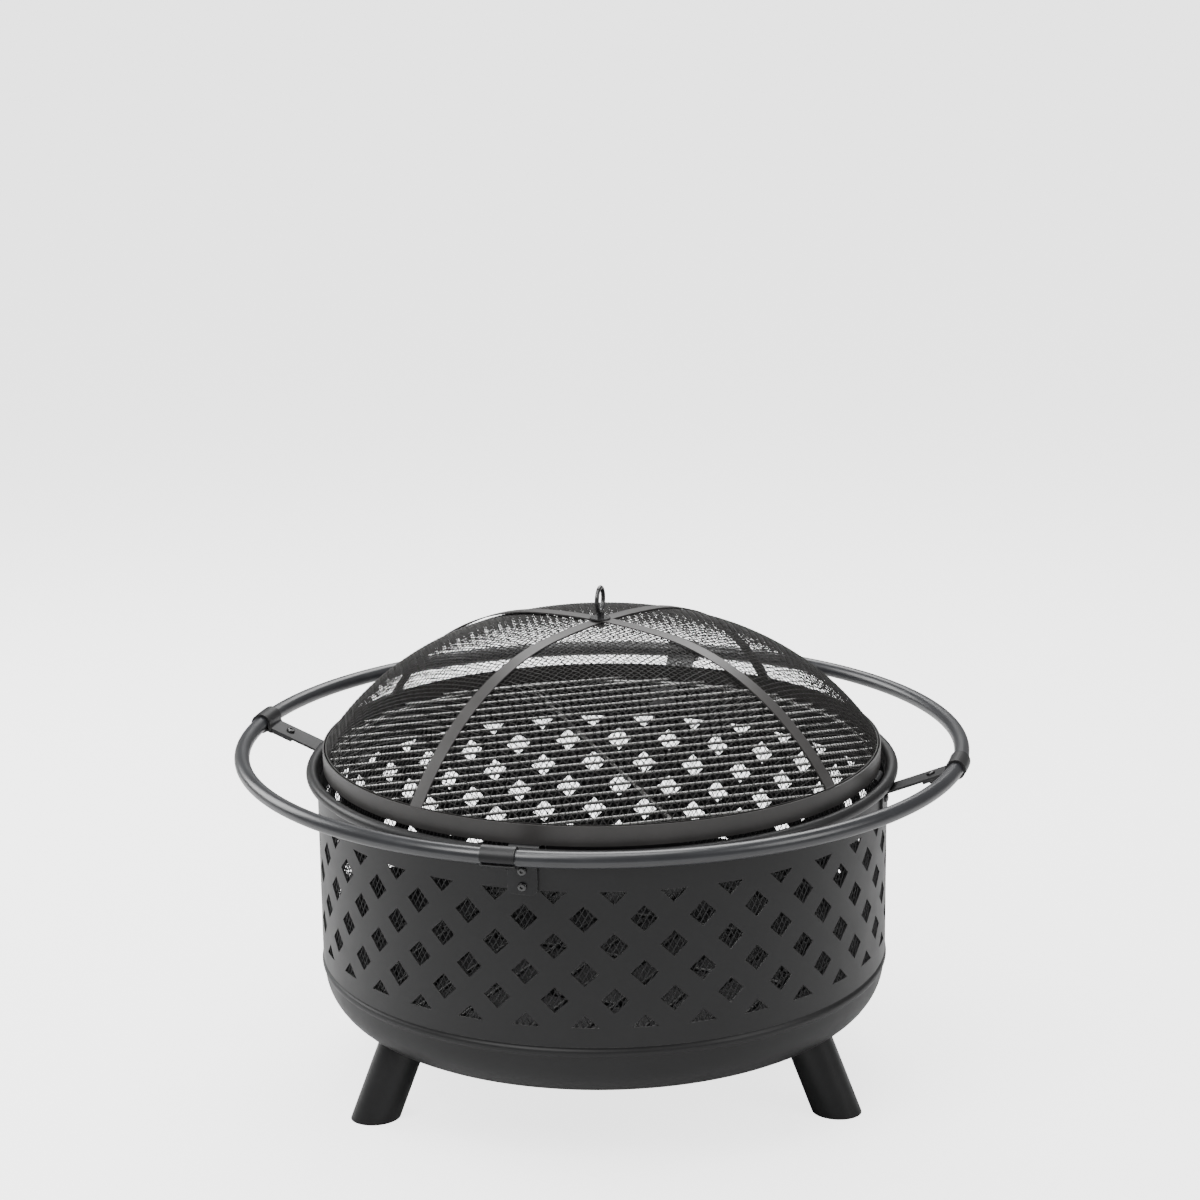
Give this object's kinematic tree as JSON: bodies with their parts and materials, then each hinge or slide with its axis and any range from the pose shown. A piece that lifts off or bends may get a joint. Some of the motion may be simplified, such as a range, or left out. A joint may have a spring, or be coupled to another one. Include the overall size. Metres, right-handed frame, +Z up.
{
  "type": "fire pit with grate",
  "caption": "Round steel fire pit with a lattice-cut bowl, tube ring handle, splayed legs, charcoal and cooking grates, and a domed mesh spark screen.",
  "frame": {"origin": "on the floor under the middle of the bowl, at the bottom centre of the whole object", "axes": "+Z up; the four ring brackets stand on the X and Y axes; one leg stands at 105 degrees from +X"},
  "size_m": [0.9206, 0.9206, 0.6297],
  "materials": {
    "bowl_paint": "satin black heat-resistant powder coat",
    "ring_paint": "satin black powder coat on tube",
    "leg_paint": "satin black powder coat on tube",
    "bracket_paint": "satin black powder coat",
    "lining_wire": "black painted woven wire",
    "charcoal_wire": "black enamelled wire",
    "cooking_wire": "bright plated wire",
    "screen_paint": "satin black paint",
    "screen_wire": "black painted woven wire",
    "fastener": "black oxide"
  },
  "bodies": {
    "pit": {"bowl_wall": "bowl_paint", "wall_lining": "lining_wire", "bowl_pan": "bowl_paint", "leg_1": "leg_paint", "leg_2": "leg_paint", "leg_3": "leg_paint", "leg_plate_1": "leg_paint", "leg_plate_2": "leg_paint", "leg_plate_3": "leg_paint", "leg_screws": "fastener", "leg_nuts": "fastener", "ring_tube_1": "ring_paint", "ring_tube_2": "ring_paint", "ring_tube_3": "ring_paint", "ring_tube_4": "ring_paint", "bracket_1": "bracket_paint", "bracket_2": "bracket_paint", "bracket_3": "bracket_paint", "bracket_4": "bracket_paint", "lower_jaw_1": "bracket_paint", "lower_jaw_2": "bracket_paint", "lower_jaw_3": "bracket_paint", "lower_jaw_4": "bracket_paint", "support_hook_1": "bracket_paint", "support_hook_2": "bracket_paint", "support_hook_3": "bracket_paint", "support_hook_4": "bracket_paint", "wall_screws": "fastener", "wall_nuts": "fastener", "clamp_screws": "fastener", "clamp_nuts": "fastener"},
    "charcoal_grate": {"charcoal_ring": "charcoal_wire", "charcoal_bars": "charcoal_wire", "charcoal_middle_rod": "charcoal_wire", "charcoal_foot_rod_front": "charcoal_wire", "charcoal_foot_rod_rear": "charcoal_wire"},
    "cooking_grate": {"cooking_ring": "cooking_wire", "cooking_bars": "cooking_wire", "cooking_cross_rod": "cooking_wire"},
    "spark_screen": {"screen_band": "screen_paint", "screen_mesh": "screen_wire", "screen_strip_lower": "screen_paint", "screen_strip_upper": "screen_paint", "lifting_eye": "screen_paint", "eye_washer": "fastener", "eye_nut": "fastener"}
  },
  "joints": [
    {"name": "charcoal_lift", "type": "slide", "parent": "pit", "child": "charcoal_grate", "axis": [0, 0, 1], "range_m": [0, 0.43]},
    {"name": "cooking_lift", "type": "slide", "parent": "charcoal_grate", "child": "cooking_grate", "axis": [0, 0, 1], "range_m": [0, 0.03]},
    {"name": "screen_lift", "type": "slide", "parent": "cooking_grate", "child": "spark_screen", "axis": [0, 0, 1], "range_m": [0, 0.18]}
  ]
}
